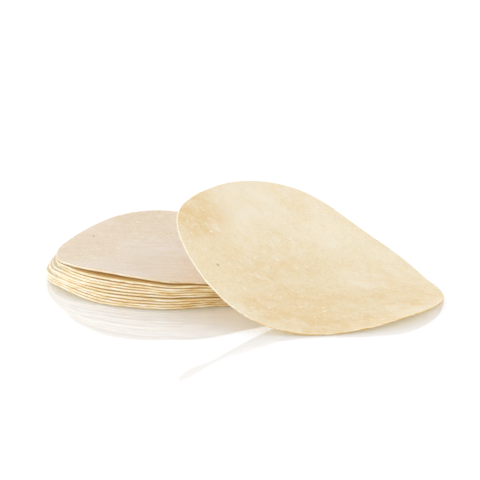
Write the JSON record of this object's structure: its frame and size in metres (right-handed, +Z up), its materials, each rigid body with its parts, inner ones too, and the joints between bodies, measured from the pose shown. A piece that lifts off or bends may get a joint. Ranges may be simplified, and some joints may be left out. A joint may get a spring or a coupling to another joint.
{
  "type": "stack of papadums",
  "caption": "Low stack of thin round dried lentil wafers, nested and curling open at the rim, with another bent wafer leaning on its front right side.",
  "frame": {"origin": "middle of the bottom papadum's underside, on the table", "axes": "+X to the right of the stack, where the leaning papadum reaches furthest, +Y to its back, +Z up from the table"},
  "size_m": [0.217, 0.1953, 0.051],
  "materials": {
    "stack_dough": "dry matt dough, cream",
    "top_dough": "dry matt dough, pinkish beige",
    "leaning_dough": "dry matt dough, warm yellow cream"
  },
  "bodies": {
    "root": {"papadum_01": "stack_dough", "papadum_02": "stack_dough", "papadum_03": "stack_dough", "papadum_04": "stack_dough", "papadum_05": "stack_dough", "papadum_06": "stack_dough", "papadum_07": "stack_dough", "papadum_08": "stack_dough", "papadum_09": "stack_dough", "papadum_10": "top_dough", "papadum_leaning": "leaning_dough"}
  },
  "joints": []
}
